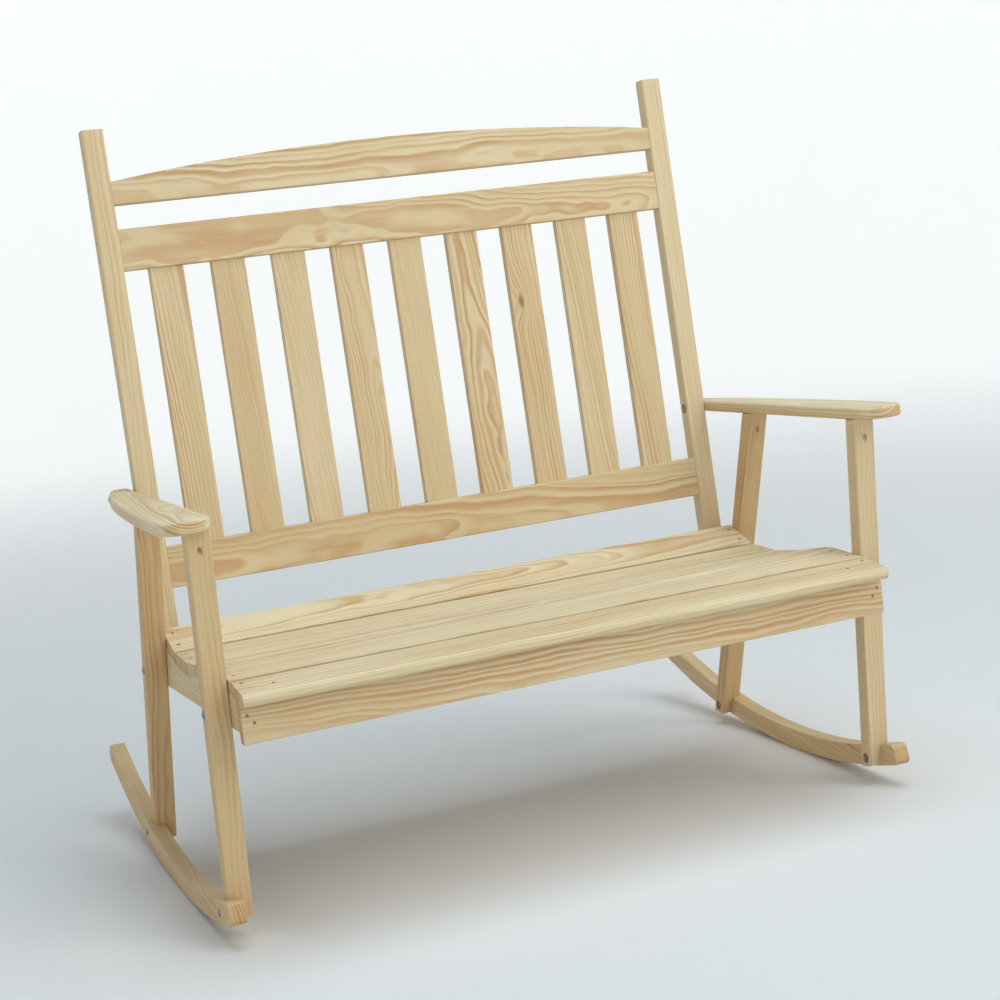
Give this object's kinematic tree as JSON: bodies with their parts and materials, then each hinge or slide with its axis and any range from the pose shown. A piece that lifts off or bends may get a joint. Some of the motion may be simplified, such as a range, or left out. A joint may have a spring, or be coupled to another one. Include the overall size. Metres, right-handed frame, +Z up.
{
  "type": "rocking bench",
  "caption": "Slatted pine rocking bench: dished board seat, flat round-nosed arms, splayed legs notched onto curved runners, and a leaning slatted back with an arched top rail.",
  "frame": {"origin": "on the floor, in the middle of the bench from side to side and from front to back", "axes": "+X to the right of someone looking at the bench from its front, +Y towards the back, +Z up"},
  "size_m": [1.204, 0.8876, 1.2024],
  "materials": {
    "pine": "raw planed pine with eased edges, unsealed",
    "zinc_steel": "dull zinc plating, darkened with handling"
  },
  "bodies": {
    "root": {"rocker_right": "pine", "rocker_left": "pine", "front_leg_right": "pine", "front_leg_left": "pine", "rear_leg_right": "pine", "rear_leg_left": "pine", "side_rail_right": "pine", "side_rail_left": "pine", "back_post_right": "pine", "back_post_left": "pine", "armrest_right": "pine", "armrest_left": "pine", "apron": "pine", "seat_board_1": "pine", "seat_board_2": "pine", "seat_board_3": "pine", "seat_board_4": "pine", "seat_board_5": "pine", "seat_board_6": "pine", "lower_back_rail": "pine", "upper_back_rail": "pine", "crest_rail": "pine", "back_slat_1": "pine", "back_slat_2": "pine", "back_slat_3": "pine", "back_slat_4": "pine", "back_slat_5": "pine", "back_slat_6": "pine", "back_slat_7": "pine", "back_slat_8": "pine", "back_slat_9": "pine", "rocker_bolts": "zinc_steel", "rocker_nuts": "zinc_steel", "seat_bolts": "zinc_steel", "seat_nuts": "zinc_steel", "arm_bolts": "zinc_steel", "arm_nuts": "zinc_steel", "seat_screws": "zinc_steel", "back_rail_screws": "zinc_steel", "apron_screws": "zinc_steel", "post_foot_screws": "zinc_steel", "arm_pocket_screws": "zinc_steel"}
  },
  "joints": []
}
